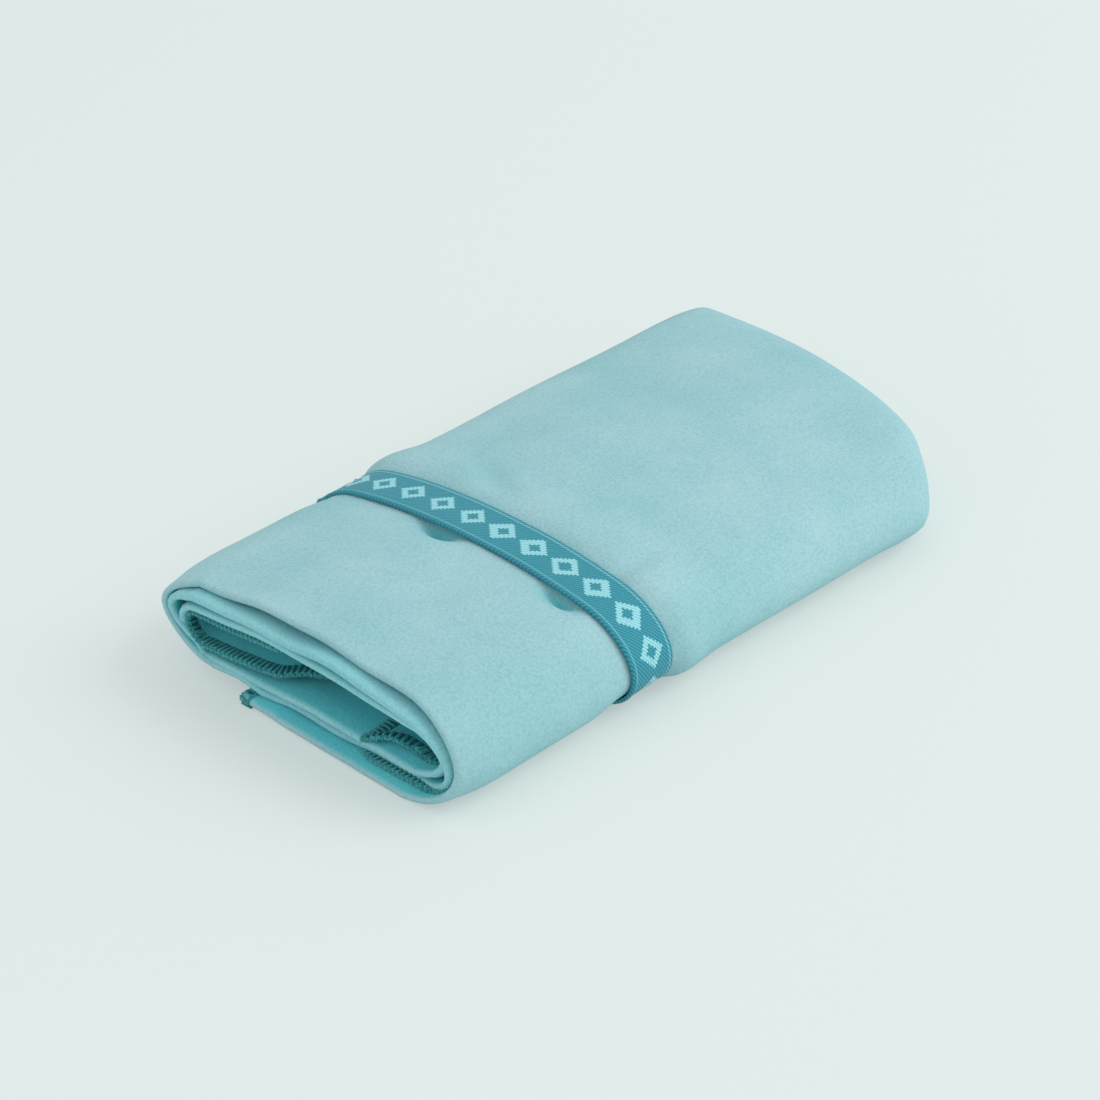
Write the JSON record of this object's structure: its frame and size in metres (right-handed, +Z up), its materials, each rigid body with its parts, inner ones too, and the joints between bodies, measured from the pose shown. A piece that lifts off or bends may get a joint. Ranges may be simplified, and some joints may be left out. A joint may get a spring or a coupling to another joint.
{
  "type": "quick dry towel",
  "caption": "Thin brushed microfibre travel towel, folded in three, rolled flat and held by a woven elastic loop that pulls off its open end.",
  "frame": {"origin": "middle of the face that the roll rests on", "axes": "+X along the roll, from its open end to its smooth folded end; +Y across it, towards the side where the cloth's outer end stops short; +Z up"},
  "size_m": [0.2666, 0.1439, 0.0381],
  "materials": {
    "cloth": "matt brushed microfibre with a short suede nap, pale aqua",
    "overlock_thread": "overlocked polyester thread, dark teal",
    "elastic": "woven jacquard elastic with a ribbed face and corded edges, teal",
    "tack_thread": "polyester thread, dark teal",
    "label_satin": "white woven satin ribbon, blank"
  },
  "bodies": {
    "towel": {"towel_cloth": "cloth", "near_side_hem": "overlock_thread", "far_side_hem": "overlock_thread", "outer_end_hem": "overlock_thread", "inner_end_hem": "overlock_thread", "care_label": "label_satin"},
    "band": {"elastic_band": "elastic", "band_join_stitching": "tack_thread"}
  },
  "joints": [
    {"name": "band_slide", "type": "slide", "parent": "towel", "child": "band", "axis": [-1, 0, 0], "range_m": [0, 0.105]}
  ]
}
